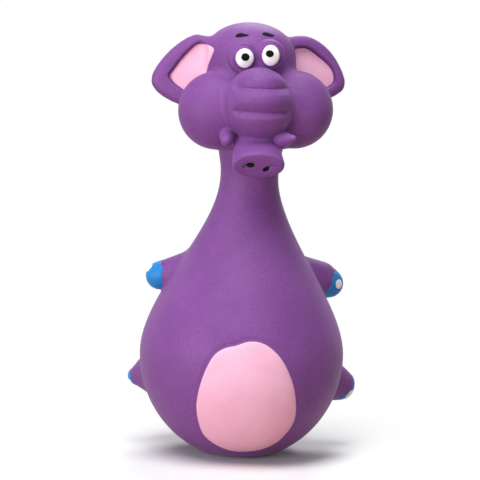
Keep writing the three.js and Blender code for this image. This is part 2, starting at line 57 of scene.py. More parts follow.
SIDES = {"left": -1, "right": 1}
RIGHT, BACK, UP = np.eye(3)

# Body, with the heights between which the neck drifts sideways and flares
BODY_RADIUS = 42.1
WAIST_HEIGHT = 42.0
BASE_RADIUS = 12.5
BODY_DROP = WAIST_HEIGHT / math.sqrt(1 - (BASE_RADIUS / BODY_RADIUS) ** 2)
NECK_RADIUS = 11.9
NECK_HEIGHT = 115.6
NECK_SHIFT = 0.65
SHIFT_HEIGHTS = (68.0, 106.0)
NECK_FLARE = 1.6
FLARE_HEIGHTS = (117.0, 130.0)
NECK_TOP = 134.0
NECK_TOP_EDGE = 1.0
SHOULDER_PULL = 22.7
SHOULDER_POINTS = 900
BASE_EDGE = 1.6
RECESS_RADIUS = 8.9
RECESS_DEPTH = 1.6
RECESS_EDGE = 0.5
NECK_CUT = 100.0
BODY_BOX = ((-52.0, -45.0, -1.5), (52.0, 45.0, NECK_TOP + 2))
BODY_STEP = 1.0

# Belly: the press direction out of the body, and the painted outline in the plane across it
PRESS_TILT = math.radians(22.5)
PRESS_OUT = np.array([0.0, -math.cos(PRESS_TILT), -math.sin(PRESS_TILT)])
PRESS_UP = np.array([0.0, -math.sin(PRESS_TILT), math.cos(PRESS_TILT)])
PRESS_CENTRE = np.array([0.0, 0.0, WAIST_HEIGHT])
PATCH_OUTLINE = [
    (-1.6, 25.2), (3.4, 24.9), (8.0, 22.6), (12.0, 18.7), (15.2, 13.2), (17.7, 6.4), (19.2, -3.2),
    (18.8, -9.9), (16.4, -15.4), (12.8, -20.6), (7.6, -24.0), (0.0, -25.6), (-6.2, -25.1), (-12.2, -22.0),
    (-16.8, -17.6), (-19.4, -11.2), (-20.8, -3.6), (-20.6, 2.8), (-19.4, 9.2), (-17.4, 15.0),
    (-14.8, 19.4), (-11.0, 22.2), (-6.4, 23.7),
]
PATCH_MIDDLE = -0.9
GROOVE_DEPTH = 0.45
GROOVE_LEAST = 0.15
GROOVE_SHARE = 1.02
GROOVE_WIDTH = 0.03
GROOVE_TURN = math.radians(118)
GROOVE_SPREAD = 0.75
GROOVE_FRONT = 15.0

# Limbs: balls along each one, from its root to its end
LIMBS = {
    ("arm", "left"): [((-18.0, 5.0, 76.5), 8.4), ((-34.3, 8.6, 72.4), 5.6)],
    ("arm", "right"): [((19.0, 5.0, 75.6), 8.2), ((32.4, 7.8, 72.3), 7.7), ((36.6, 8.6, 70.8), 5.8)],
    ("leg", "left"): [((-32.3, 12.0, 31.4), 10.4), ((-42.2, 16.4, 28.9), 3.5)],
    ("leg", "right"): [((31.5, 11.8, 31.8), 11.5), ((43.6, 16.4, 26.9), 6.7)],
}
LIMB_HOLD = 1.8

# Painted limb ends: half-angle of the blue, waver and phase of its edge, radius of the white spot, and where
# the blue and the spot look
LIMB_ENDS = {
    ("arm", "left"): (110.0, 5.0, 3.4, 1.9, (-0.95, 0.21, -0.34), (-0.80, -0.12, 0.57)),
    ("arm", "right"): (104.0, 5.0, 6.0, 1.9, (0.84, 0.17, -0.58), (0.60, -0.80, 0.04)),
    ("leg", "left"): (74.0, 5.0, 2.7, 1.5, (-0.73, 0.49, -0.47), (-0.68, -0.10, -0.71)),
    ("leg", "right"): (83.0, 4.0, 5.3, 2.6, (0.51, 0.55, -0.67), (0.68, -0.38, -0.63)),
}
SPOT_WAVER = 0.4
# Waves of a brushed edge: size, number round the edge and how often the phase counts
WAVES = ((1.0, 2, 1), (0.6, 5, 2), (0.35, 11, 1))

# Head: each form by its middle and radii. A hold that changes is given by places and the width at each.
DOME = ((-0.7, 2.0, 165.6), (18.3, 16.6, 12.7))
CORE = ((0.8, 2.0, 152.0), (18.8, 17.0, 18.0))
SKULL_HOLD = 5.0
JAW = ((0.0, -2.0, 137.0), (20.5, 16.5, 13.0))
JAW_HOLD = ((12.0, 19.0), (6.0, 1.2))
JAW_HOLD_BEHIND = 6.0
CHEEKS = {
    "left": ((-14.3, -5.6, 142.2), (15.7, 14.4, 15.9)),
    "right": ((17.3, -5.6, 143.5), (16.0, 14.4, 15.9)),
}
CHEEK_HOLD = ((14.0, 20.0), (2.6, 0.7))
CHEEK_HOLD_BEHIND = 7.0
BULB = ((1.3, -18.8, 145.7), (14.0, 13.2, 14.8))
BULB_HOLD = ((-13.0, 6.0), (2.3, 0.9))
CREASES = (152.2, 143.0)
CREASE_MIDDLE = 0.8
CREASE_ENDS = (13.0, 9.0)
CREASE_FRONT = (-20.0, -25.0)
CREASE_BOW = 0.004
CREASE_DEPTH = 1.4
CREASE_ABOVE = 2.6
CREASE_BELOW = 1.9
CREASE_LINE = 0.45
CREASE_LINE_WIDTH = 0.5
HEAD_BOX = ((-43.0, -37.0, 112.0), (43.0, 23.0, 181.0))
HEAD_STEP = 0.5

# Nape: depths over which the head's front passes into its back, and the fillet between neck and head
NAPE_DEPTHS = (3.0, 11.0)
NAPE_HOLD = 9.0
NAPE_HOLD_DEPTHS = (-2.0, 12.0)
NAPE_EDGE = 0.02
NAPE_BOX = ((-22.0, -2.0, 116.0), (22.0, 24.0, 146.0))

# Eyes, as seen from the front
EYES = {"left": (-4.8, 164.0), "right": (5.7, 165.4)}
EYE_RISE = 0.3
EYE_DOME = 0.4
EYE_SIZES = {"left": (3.55, 3.8), "right": (3.45, 4.1)}
LID_RADII = (6.2, 5.0, 6.5)
LID_DEPTH = -12.5
LID_HOLD = 0.45
LID_MEET = 0.7
FOLD_RADIUS = 4.8
FOLD_WIDTH = 0.55
FOLD_DEPTH = 0.55
PUPILS = {"left": (-4.7, 164.45), "right": (5.1, 166.1)}
PUPIL_SIZES = {"left": (1.66, 1.55), "right": (1.62, 1.42)}
PUPIL_DOME = 0.2
BROWS = {
    "left": [
        (-8.3, 172.5), (-7.2, 173.4), (-5.8, 173.8), (-4.2, 173.5), (-2.7, 173.1), (-4.2, 172.6),
        (-6.0, 172.3), (-7.4, 172.1),
    ],
    "right": [
        (2.6, 173.8), (3.5, 174.4), (5.2, 174.2), (6.8, 173.7), (7.9, 173.2), (6.3, 172.8),
        (4.6, 173.0), (3.4, 173.3),
    ],
}

# Trunk tip: a stub that flares toward a dished end, with a slit beside each nostril
SNOUT_ROOT = np.array([1.0, -18.5, 129.3])
SNOUT_LENGTH = 14.5
SNOUT_DROP = math.radians(35)
SNOUT_HALF = (10.5, 6.2)
SNOUT_FULL = 2.1
SNOUT_NARROW = 0.90
SNOUT_FLARE = 0.11
SNOUT_FLARE_FROM = 2.0
SNOUT_DISH = 0.5
SNOUT_DISH_SHARES = (0.97, 0.8)
SNOUT_SLOPE_LEAST = 1e-3
SNOUT_LIP = 2.9
SNOUT_BACK = 2.0
SNOUT_BACK_EDGE = 3.0
SNOUT_HOLD = 2.4
SNOUT_CUT = 1.0
SNOUT_OUT = np.array([0.0, -math.cos(SNOUT_DROP), -math.sin(SNOUT_DROP)])
SNOUT_UP = np.array([0.0, -math.sin(SNOUT_DROP), math.cos(SNOUT_DROP)])
NOSTRILS = {"left": (-3.4, 0.8), "right": (3.1, -1.3)}
NOSTRIL_SIZES = {"left": (1.65, 1.3), "right": (1.3, 1.15)}
NOSTRIL_TILTS = {"left": math.radians(10), "right": math.radians(25)}
SLIT_ENDS = {"left": (-5.6, 0.2), "right": (5.2, 0.3)}
SLIT_LIFTS = (-0.4, -0.8)
SLIT_RADII = (1.35, 0.75)
SLIT_EDGE = 0.4

# Tusks, for each side: root, tip and radii
TUSKS = {
    "left": ((-10.6, -17.6, 132.8), (-11.6, -22.9, 131.1), (3.2, 2.3)),
    "right": ((11.0, -21.4, 132.0), (15.2, -25.4, 133.0), (3.5, 1.1)),
}
TUSK_HOLD = 0.9

# Ears: outline of the rim and of the pink lining as seen from the front, and the line they swing on
EAR_OUTLINES = {
    "left": [
        (-8.0, 170.5), (-16.0, 171.8), (-19.9, 172.4), (-23.6, 172.6), (-28.2, 170.3), (-33.0, 166.4),
        (-37.2, 161.6), (-40.2, 156.6), (-40.8, 153.6), (-40.4, 151.4), (-38.5, 148.8), (-35.2, 146.4),
        (-30.0, 144.0), (-22.0, 141.5), (-13.0, 150.0), (-7.0, 162.0),
    ],
    "right": [
        (8.0, 171.5), (15.6, 173.0), (19.5, 173.6), (23.2, 173.4), (27.2, 171.8), (31.2, 169.0),
        (34.4, 165.6), (37.2, 161.2), (39.1, 156.8), (39.4, 154.4), (38.6, 151.8), (36.0, 149.6),
        (32.6, 147.9), (27.0, 146.0), (20.0, 145.0), (13.0, 150.0), (7.0, 162.0),
    ],
}
LININGS = {
    "left": [
        (-23.4, 168.0), (-20.6, 168.8), (-18.6, 168.5), (-16.8, 167.6), (-16.4, 166.3), (-17.2, 163.4),
        (-18.2, 160.2), (-19.0, 156.5), (-21.5, 151.5), (-26.5, 149.8), (-29.4, 151.2), (-31.5, 152.7),
        (-33.3, 155.4), (-32.3, 157.3), (-28.2, 163.0),
    ],
    "right": [
        (16.6, 167.2), (20.6, 168.4), (23.6, 167.8), (27.6, 165.1), (31.4, 162.1), (33.4, 159.8),
        (34.3, 157.0), (34.0, 154.8), (31.2, 152.6), (26.0, 151.6), (19.0, 152.6), (16.0, 157.4),
        (15.6, 162.8),
    ],
}
EAR_ROOT_TOP = np.array([15.6, 3.0, 172.7])
EAR_ROOT_FOOT = np.array([29.5, 3.0, 144.6])
EAR_SWEEPS = {"left": math.radians(10), "right": math.radians(7)}
EAR_MIDDLES = {"left": 0.4, "right": 2.4}
EAR_HOLDS = {"left": 4.2, "right": 1.2}
EAR_HOLD_TOP = 1.8
EAR_HOLD_HEIGHTS = (168.5, 172.5)
EAR_HOLD_BEHIND = 4.0
EAR_HOLD_BEHIND_HEIGHTS = (173.0, 168.0)
EAR_TURN = 6.0
EAR_HALF = 2.4
EAR_ROUND = 3.6
EAR_SWELL = 1.1
EAR_SWELL_REACH = 9.0
DISH_FLOOR = -0.2
DISH_TILTS = {"left": 0.0, "right": 0.08}
DISH_PIVOT = 8.0
DISH_MARGIN = 0.7
DISH_CORNER = 1.2
DISH_EDGE = 1.0

# Where an ear is worked out at all, and the distance given elsewhere
EAR_INNER = 6.0
EAR_LOWEST = 138.0
EAR_DEPTHS = (-11.0, 17.0)
EAR_FAR = 30.0

# Paint: thickness, how sharply its edge rolls over, how deep the edge sinks, how the rings crowd toward it,
# and how far outside a limb's end the rays start
PAINT = 0.22
PAINT_ROLL = 24
PAINT_SINK = 0.08
RING_CROWDING = 1.7
OVAL_POINTS = 12
BLUE_SECTORS = 72
BLUE_RAYS_OUT = 4.0
SPOT_SECTORS = 36
SPOT_RAYS_OUT = 2.0

# Meshing: the step of a slope, limits of a move onto a surface, and how a ray is followed to one
SLOPE_STEP = 0.15
SLOPE_LEAST = 0.05
MOVE_MOST = 0.6
EVEN_ROUNDS = 3
TRACE_ROUNDS = 90
TRACE_SHARE = 0.8
TRACE_MOVES = (-1.0, 4.0)
TRACE_REACH = 60.0

# Studio, in metres: the floor's fade, what it sends back to the toy and what is seen of it, and the lamps by
# place, size, power and colour
FLOOR_HALF = 6.0
FLOOR_NEAR = 0.02
FLOOR_FAR = 0.13
FLOOR_BOUNCE = (0.50, 0.35, 0.31)
FLOOR_SEEN = (0.95, 0.95, 0.95)
SKY_COLOUR = (0.95, 0.95, 1.0, 1)
SKY_STRENGTH = 0.10
WHITE_LIGHT = (1, 1, 1)
LAMP_AIM = (0.0, 0.0, 0.09)
LAMPS = {
    "top": ((0.0, -0.205, 0.865), 0.4, 3.6, (0.97, 0.98, 1)),
    "key": ((-0.23, -0.395, 0.745), 0.4, 2.7, (0.98, 0.99, 1)),
    "side": ((-1.22, -1.02, 0.08), 0.8, 24, WHITE_LIGHT),
    "front": ((0.15, -1.58, 0.30), 0.8, 4.5, WHITE_LIGHT),
    "back": ((0.3, 1.1, 1.3), 0.8, 13, WHITE_LIGHT),
}

# Photograph, in metres: where the toy is seen from, and how far it leans in the picture
VIEW_AZIMUTH = math.radians(-6)
VIEW_ELEVATION = math.radians(6)
VIEW_LEAN = math.radians(2.05)
VIEW_DISTANCE = 0.9
VIEW_AIM = (-0.0023, 0.0, 0.0889)
VIEW_LENS = 163.8
VIEW_SENSOR = 36.0


# Distance fields. Each takes an array of points and gives how far each lies outside the form.

def smooth_min(a, b, k):
    """The lower of two fields, joined by a fillet of about k."""
    h = np.clip(0.5 + 0.5 * (b - a) / k, 0, 1)
    return b + (a - b) * h - k * h * (1 - h)


def smooth_max(a, b, k):
    return -smooth_min(-a, -b, k)


def ease(low, high, value):
    t = np.clip((value - low) / (high - low), 0, 1)
    return t * t * (3 - 2 * t)


def ellipsoid(p, at, radii):
    q = p - np.array(at)
    k0 = np.linalg.norm(q / np.array(radii), axis=1)
    k1 = np.linalg.norm(q / np.array(radii) ** 2, axis=1)
    return k0 * (k0 - 1) / np.maximum(k1, TINY)


def round_cone(p, start, end, radii):
    """Two balls and the cone that touches both."""
    start, run = np.array(start), np.array(end) - np.array(start)
    long, drop = run @ run, radii[0] - radii[1]
    lean = long - drop ** 2
    q = p - start
    along = q @ run
    past = along - long
    off = ((q * long - along[:, None] * run) ** 2).sum(axis=1)
    near, far = along ** 2 * long, past ** 2 * long
    turn = np.sign(drop) * drop ** 2 * off
    cone = (np.sqrt(off * lean / long) + along * drop) / long - radii[0]
    cone = np.where(np.sign(along) * lean * near < turn, np.sqrt(off + near) / long - radii[0], cone)
    return np.where(np.sign(past) * lean * far > turn, np.sqrt(off + far) / long - radii[1], cone)


def shoulder_curve():
    """Height, radius and slope along the shoulder, from the waist to the neck."""
    t = np.linspace(0, 1, SHOULDER_POINTS)
    weights = np.stack([(1 - t) ** 3, 3 * t * (1 - t) ** 2, 3 * t * t * (1 - t), t ** 3])
    radius = weights.T @ np.array([BODY_RADIUS, BODY_RADIUS, NECK_RADIUS, NECK_RADIUS])
    pulls = [WAIST_HEIGHT, WAIST_HEIGHT + SHOULDER_PULL, NECK_HEIGHT - SHOULDER_PULL, NECK_HEIGHT]
    height = weights.T @ np.array(pulls)
    return height, radius, np.gradient(radius, height)


SHOULDER = shoulder_curve()


def body_field(p):
    z = p[:, 2]
    r = np.hypot(p[:, 0] - NECK_SHIFT * ease(*SHIFT_HEIGHTS, z), p[:, 1])
    k0 = np.hypot(r / BODY_RADIUS, (z - WAIST_HEIGHT) / BODY_DROP)
    k1 = np.hypot(r / BODY_RADIUS ** 2, (z - WAIST_HEIGHT) / BODY_DROP ** 2)
    egg = k0 * (k0 - 1) / np.maximum(k1, TINY)
    height, radius, slope = SHOULDER
    width = np.interp(z, height, radius) + NECK_FLARE * ease(*FLARE_HEIGHTS, z)
    side = (r - width) / np.sqrt(1 + np.interp(z, height, slope) ** 2)
    skin = np.where(z < WAIST_HEIGHT, egg, side)
    skin = smooth_max(skin, -z, BASE_EDGE)
    return smooth_max(skin, z - NECK_TOP, NECK_TOP_EDGE)


def patch_share(p):
    """How far out a point lies from the middle of the belly paint, with 1 at its edge, and at which angle."""
    u, v = p[:, 0] - PATCH_MIDDLE, (p - PRESS_CENTRE) @ PRESS_UP
    angle = np.arctan2(v, u)
    ring = np.array(PATCH_OUTLINE) - np.array([PATCH_MIDDLE, 0.0])
    angles = np.arctan2(ring[:, 1], ring[:, 0])
    order = np.argsort(angles)
    edge = np.interp(angle, angles[order], np.hypot(*ring[order].T), period=2 * math.pi)
    return np.hypot(u, v) / edge, angle


def belly_groove(p):
    """A shallow moulded line just outside the belly paint, deepest at its upper left."""
    share, angle = patch_share(p)
    front = (p - PRESS_CENTRE) @ PRESS_OUT > GROOVE_FRONT
    near = np.exp(-((share - GROOVE_SHARE) / GROOVE_WIDTH) ** 2)
    aside = np.mod(angle - GROOVE_TURN + math.pi, 2 * math.pi) - math.pi
    where = np.exp(-(aside / GROOVE_SPREAD) ** 2)
    return np.where(front, GROOVE_DEPTH * near * (GROOVE_LEAST + (1 - GROOVE_LEAST) * where), 0)


def limb_field(p, balls):
    cones = [round_cone(p, at, to, (wide, narrow)) for (at, wide), (to, narrow) in zip(balls, balls[1:])]
    return np.min(cones, axis=0)


def torso_field(p):
    field = body_field(p) + belly_groove(p)
    for balls in LIMBS.values():
        field = smooth_min(field, limb_field(p, balls), LIMB_HOLD)
    recess = np.maximum(np.hypot(p[:, 0], p[:, 1]) - RECESS_RADIUS, p[:, 2] - RECESS_DEPTH)
    return smooth_max(field, -recess, RECESS_EDGE)


def outline_distance(points, outline):
    """Signed distance of points in a plane to a closed outline, negative inside."""
    ring = smooth_ring(outline, steps=4)
    best = np.full(len(points), np.inf)
    inside = np.zeros(len(points), bool)
    for a, b in zip(ring, np.roll(ring, -1, axis=0)):
        run = b - a
        h = np.clip((points - a) @ run / (run @ run), 0, 1)
        best = np.minimum(best, np.linalg.norm(points - a - h[:, None] * run, axis=1))
        spans = (a[1] > points[:, 1]) != (b[1] > points[:, 1])
        cross = a[0] + (points[:, 1] - a[1]) * run[0] / (run[1] if run[1] else TINY)
        inside ^= spans & (points[:, 0] < cross)
    return np.where(inside, -best, best)


def ear_out():
    """The direction in the ear's plane that leads away from the line it swings on, at +X."""
    line = EAR_ROOT_FOOT - EAR_ROOT_TOP
    out = np.array([-line[2], 0.0, line[0]])
    return out / np.linalg.norm(out)


def ear_field(p, name):
    """A thick flap with round edges, leaning back from its root, and dished within its lining."""
    field = np.full(len(p), EAR_FAR)
    beside = (p[:, 0] * SIDES[name] > EAR_INNER) & (p[:, 2] > EAR_LOWEST)
    near = np.flatnonzero(beside & (p[:, 1] > EAR_DEPTHS[0]) & (p[:, 1] < EAR_DEPTHS[1]))
    q = p[near]
    past = (q * np.array([SIDES[name], 1, 1]) - EAR_ROOT_TOP) @ ear_out()
    away = 0.5 * (past + np.sqrt(past ** 2 + EAR_TURN ** 2))
    depth = q[:, 1] - EAR_MIDDLES[name] - away * math.tan(EAR_SWEEPS[name])
    edge = outline_distance(q[:, [0, 2]], EAR_OUTLINES[name])
    back = depth - EAR_SWELL * ease(0, -EAR_SWELL_REACH, edge)
    flap = smooth_max(edge, np.maximum(-depth, back) - EAR_HALF, EAR_ROUND)
    dish = outline_distance(q[:, [0, 2]], LININGS[name]) - DISH_MARGIN
    floor = DISH_FLOOR - DISH_TILTS[name] * (past - DISH_PIVOT)
    field[near] = smooth_max(flap, -smooth_max(dish, depth - floor, DISH_CORNER), DISH_EDGE)
    return field


def nape_share(p):
    """0 on the front of the head, and 1 on its back."""
    return ease(*NAPE_DEPTHS, p[:, 1])


def ear_hold(p, name):
    """The fillet between an ear and the head, narrow at the top and wide behind."""
    hold, z = EAR_HOLDS[name], p[:, 2]
    front = np.interp(z, EAR_HOLD_HEIGHTS, (hold, min(hold, EAR_HOLD_TOP)))
    return front + EAR_HOLD_BEHIND * nape_share(p) * ease(*EAR_HOLD_BEHIND_HEIGHTS, z)


def ear_seat_field(p, name):
    """What an ear's lining lies on: the flap, and on the left the side of the head that runs into it."""
    flap = ear_field(p, name)
    return flap if name == "right" else smooth_min(skull_field(p), flap, ear_hold(p, name))


def snout_place(p):
    """Sideways, upward and forward along the trunk tip."""
    q = p - SNOUT_ROOT
    return q @ RIGHT, q @ SNOUT_UP, q @ SNOUT_OUT


def snout_field(p):
    """A flared oval stub with a shallow dished end, a soft lip and two slits."""
    u, v, w = snout_place(p)
    flare = SNOUT_NARROW + SNOUT_FLARE * ease(SNOUT_FLARE_FROM, SNOUT_LENGTH, w)
    a, b = SNOUT_HALF[0] * flare, SNOUT_HALF[1] * flare
    share = (np.abs(u / a) ** SNOUT_FULL + np.abs(v / b) ** SNOUT_FULL) ** (1 / SNOUT_FULL)
    plain = np.hypot(u / a, v / b)
    slope = np.hypot(u / a ** 2, v / b ** 2) / np.maximum(plain, TINY)
    tube = (share - 1) / np.maximum(slope, SNOUT_SLOPE_LEAST)
    dish = SNOUT_DISH * ease(*SNOUT_DISH_SHARES, share)
    field = smooth_max(tube, w - SNOUT_LENGTH + dish, SNOUT_LIP)
    for name, nostril in NOSTRILS.items():
        start, end = snout_point(nostril, SLIT_LIFTS[0]), snout_point(SLIT_ENDS[name], SLIT_LIFTS[1])
        field = smooth_max(field, -round_cone(p, start, end, SLIT_RADII), SLIT_EDGE)
    return smooth_max(field, -SNOUT_BACK - w, SNOUT_BACK_EDGE)


def snout_point(place, lift):
    """A point at the trunk tip's end face, at a sideways and upward place and a height over it."""
    return SNOUT_ROOT + place[0] * RIGHT + place[1] * SNOUT_UP + (SNOUT_LENGTH + lift) * SNOUT_OUT


def bulb_field(p):
    """The trunk's swell with two creases across its front."""
    field = ellipsoid(p, *BULB)
    x, y, z = p[:, 0] - BULB[0][0], p[:, 1], p[:, 2]
    across = ease(*CREASE_ENDS, np.abs(x - CREASE_MIDDLE)) * ease(*CREASE_FRONT, y)
    for height in CREASES:
        lift = z - height - CREASE_BOW * x ** 2
        above = np.exp(-(lift / CREASE_ABOVE) ** 2)
        below = np.exp(-(lift / CREASE_BELOW) ** 2)
        line = CREASE_LINE * np.exp(-(lift / CREASE_LINE_WIDTH) ** 2)
        field = field + across * (CREASE_DEPTH * np.where(lift > 0, above, below) + line)
    return field


def lid_field(p):
    """The two round lids, each with a fold about its eye."""
    lids = []
    for x, z in EYES.values():
        reach = np.hypot(p[:, 0] - x, p[:, 2] - z)
        fold = FOLD_DEPTH * np.exp(-((reach - FOLD_RADIUS) / FOLD_WIDTH) ** 2)
        lids.append(ellipsoid(p, (x, LID_DEPTH, z), LID_RADII) + fold)
    return smooth_min(*lids, LID_MEET)


def eye_field(p, name):
    """The face with the domed white of an eye on it."""
    (x, z), (half, tall) = EYES[name], EYE_SIZES[name]
    share = np.hypot((p[:, 0] - x) / half, (p[:, 2] - z) / tall)
    return face_field(p) - np.where(share < 1, EYE_RISE + EYE_DOME * (1 - share ** 2), 0)


def skull_field(p):
    return smooth_min(ellipsoid(p, *DOME), ellipsoid(p, *CORE), SKULL_HOLD)


def face_on(p, skull):
    """The jaw, cheeks, lids and trunk's swell on a skull. In front of the ears the cheeks meet it crisply,
    and behind them in a wide hollow."""
    wide, behind = np.abs(p[:, 0]), nape_share(p)
    field = smooth_min(skull, ellipsoid(p, *JAW), np.interp(wide, *JAW_HOLD) + JAW_HOLD_BEHIND * behind)
    for cheek in CHEEKS.values():
        hold = np.interp(wide, *CHEEK_HOLD) + CHEEK_HOLD_BEHIND * behind
        field = smooth_min(field, ellipsoid(p, *cheek), hold)
    field = smooth_min(field, lid_field(p), LID_HOLD)
    return smooth_min(field, bulb_field(p), np.interp(p[:, 0], *BULB_HOLD))


def face_field(p):
    """The head without its ears, tusks and trunk tip."""
    return face_on(p, skull_field(p))


def tusk_field(p, name):
    return round_cone(p, *TUSKS[name])


def head_field(p):
    skull = skull_field(p)
    for name in SIDES:
        skull = smooth_min(skull, ear_field(p, name), ear_hold(p, name))
    field = smooth_min(face_on(p, skull), snout_field(p), SNOUT_HOLD)
    for name in SIDES:
        field = smooth_min(field, tusk_field(p, name), TUSK_HOLD)
    return field


def nape_field(p):
    """The back of the head and the neck, with a fillet between them that runs out at the sides."""
    hold = NAPE_HOLD * ease(*NAPE_HOLD_DEPTHS, p[:, 1])
    return smooth_min(head_field(p), body_field(p), np.maximum(hold, NAPE_EDGE))


# Meshing

CORNERS = np.array([(x, y, z) for x in (0, 1) for y in (0, 1) for z in (0, 1)])
EDGES = [(a, b) for a in range(8) for b in range(a + 1, 8) if np.abs(CORNERS[a] - CORNERS[b]).sum() == 1]


def gradient(field, p):
    slope = np.empty_like(p)
    for axis, step in enumerate(SLOPE_STEP * np.eye(3)):
        slope[:, axis] = (field(p + step) - field(p - step)) / (2 * SLOPE_STEP)
    return slope


def normals_of(field, p):
    slope = gradient(field, p)
    return slope / np.maximum(np.linalg.norm(slope, axis=1), TINY)[:, None]


def onto(field, p, rounds=3):
    """The points moved along the field's slope onto its surface."""
    for _ in range(rounds):
        slope = gradient(field, p)
        size = np.maximum((slope ** 2).sum(axis=1), SLOPE_LEAST)
        move = np.clip(field(p) / size, -MOVE_MOST, MOVE_MOST)
        p = p - slope * move[:, None]
    return p


def surface_net(field, low, high, step):
    """Points and quads of a field's surface on an even grid, with their normals."""
    axes = [np.arange(a, b + step, step) for a, b in zip(low, high)]
    grid = np.stack(np.meshgrid(*axes, indexing="ij"), axis=-1)
    values = field(grid.reshape(-1, 3)).reshape(grid.shape[:3])
    inside = values < 0
    shape = np.array(inside.shape) - 1
    count = sum(inside[x:x + shape[0], y:y + shape[1], z:z + shape[2]].astype(int) for x, y, z in CORNERS)
    cells = np.argwhere((count > 0) & (count < 8))
    number = np.full(shape, -1)
    number[tuple(cells.T)] = np.arange(len(cells))
    points = np.array(low) + edge_means(values, cells) * step
    quads = np.concatenate([crossing_quads(inside, number, axis) for axis in range(3)])
    points = onto(field, points)
    for _ in range(EVEN_ROUNDS):
        points = onto(field, evened(points, quads), rounds=1)
    points = onto(field, points)
    return points, quads, normals_of(field, points)


def edge_means(values, cells):
    """For each cell, the mean of the places where its edges cross the surface, in cells."""
    total, found = np.zeros((len(cells), 3)), np.zeros(len(cells))
    for a, b in EDGES:
        va = values[tuple((cells + CORNERS[a]).T)]
        vb = values[tuple((cells + CORNERS[b]).T)]
        cross = (va < 0) != (vb < 0)
        t = np.where(cross, va / np.where(cross, va - vb, 1), 0)
        total += np.where(cross[:, None], CORNERS[a] + t[:, None] * (CORNERS[b] - CORNERS[a]), 0)
        found += cross
    return cells + total / found[:, None]


def crossing_quads(inside, number, axis):
    """A quad through the four cells round each grid edge along an axis that crosses the surface."""
    ahead = np.roll(inside, -1, axis=axis)
    cross = inside != ahead
    for k in range(3):
        ends = [slice(None)] * 3
        ends[k] = -1 if k == axis else [0, -1]
        cross[tuple(ends)] = False
    at = np.argwhere(cross)
    u, v = np.eye(3, dtype=int)[(axis + 1) % 3], np.eye(3, dtype=int)[(axis + 2) % 3]
    quads = np.stack([number[tuple((at - d).T)] for d in (u + v, v, 0 * u, u)], axis=1)
    flip = ~inside[tuple(at.T)]
    quads[flip] = quads[flip][:, ::-1]
    return quads


def evened(points, quads):
    """Each point half way to the mean of its neighbours."""
    total, found = np.zeros_like(points), np.zeros(len(points))
    for a, b in zip(quads.T, np.roll(quads, -1, axis=1).T):
        for one, other in ((a, b), (b, a)):
            for k in range(3):
                total[:, k] += np.bincount(one, points[other, k], len(points))
            found += np.bincount(one, minlength=len(points))
    return 0.5 * points + 0.5 * total / np.maximum(found, 1)[:, None]


def trace(field, origins, ways):
    """Where rays from outside meet a field's surface."""
    gone = np.zeros(len(origins))
    for _ in range(TRACE_ROUNDS):
        gone = gone + np.clip(TRACE_SHARE * field(origins + gone[:, None] * ways), *TRACE_MOVES)
        gone = np.clip(gone, 0, TRACE_REACH)
    return origins + gone[:, None] * ways


def smooth_ring(outline, steps):
    """A closed smooth line through the points of an outline."""
    ring = np.array(outline, float)
    before, after, far = np.roll(ring, 1, axis=0), np.roll(ring, -1, axis=0), np.roll(ring, -2, axis=0)
    parts = []
    for t in np.arange(steps) / steps:
        parts.append(0.5 * (2 * ring + (after - before) * t
                            + (2 * before - 5 * ring + 4 * after - far) * t ** 2
                            + (3 * ring - before - 3 * after + far) * t ** 3))
    return np.stack(parts, axis=1).reshape(-1, ring.shape[1])


# Pieces

def make_mesh(name, points, faces, material, normals=None):
    mesh = bpy.data.meshes.new(name)
    mesh.from_pydata((np.asarray(points) * MM).tolist(), [], [list(map(int, face)) for face in faces])
    mesh.polygons.foreach_set("use_smooth", [True] * len(mesh.polygons))
    if normals is not None:
        mesh.normals_split_custom_set_from_vertices(normals.tolist())
    mesh.materials.append(material)
    obj = bpy.data.objects.new(name, mesh)
    bpy.context.scene.collection.objects.link(obj)
    return obj


def cut_piece(name, net, keep, material):
    """The stretch of a meshed field whose quads are kept."""
    points, quads, normals = net
    faces = quads[keep]
    used, places = np.unique(faces, return_inverse=True)
    return make_mesh(name, points[used], places.reshape(faces.shape), material, normals[used])


def coat(name, field, origins, ways, material, rise=0.0, dome=0.0):
    """A coat of paint with a rolled edge, laid onto a field along rays. The rays are given as rings from the
    middle outward, the first one a single point."""
    rings, sectors = origins.shape[:2]
    start, way = origins.reshape(-1, 3), ways.reshape(-1, 3)
    met = trace(field, start, way)
    share = np.repeat(ring_shares(rings), sectors)
    lift = rise + PAINT * np.sqrt(np.clip(1 - share ** PAINT_ROLL, 0, 1)) + dome * (1 - share ** 2)
    lift = np.where(share >= 1, -PAINT_SINK, lift)
    points = met + normals_of(field, met) * lift[:, None]
    points = np.vstack([points[:sectors].mean(axis=0), points[sectors:]])
    faces = ring_faces(rings - 1, sectors)
    across, along = points[1] - points[0], points[1 + sectors // 4] - points[0]
    if np.cross(across, along) @ way[0] > 0:
        faces = [face[::-1] for face in faces]
    return make_mesh(name, points, faces, material)


def ring_shares(rings):
    """Shares of the way to the edge, close together near it."""
    return 1 - (1 - np.linspace(0, 1, rings)) ** RING_CROWDING


def ring_faces(rings, sectors):
    """A fan round the middle point and quads between the rings that follow."""
    after = np.roll(np.arange(sectors), -1)
    faces = [(0, 1 + a, 1 + b) for a, b in enumerate(after)]
    for ring in range(rings - 1):
        low, high = 1 + ring * sectors, 1 + (ring + 1) * sectors
        faces += [(low + a, high + a, high + b, low + b) for a, b in enumerate(after)]
    return faces


def flat_rays(outline, centre, across, up, way, back, rings=26, steps=6):
    """Rings of parallel rays within an outline in a plane."""
    ring = smooth_ring(outline, steps)
    middle = ring.mean(axis=0)
    places = middle + ring_shares(rings)[:, None, None] * (ring - middle)
    origins = centre - back * way + places[..., :1] * across + places[..., 1:] * up
    return origins, np.broadcast_to(way, origins.shape)


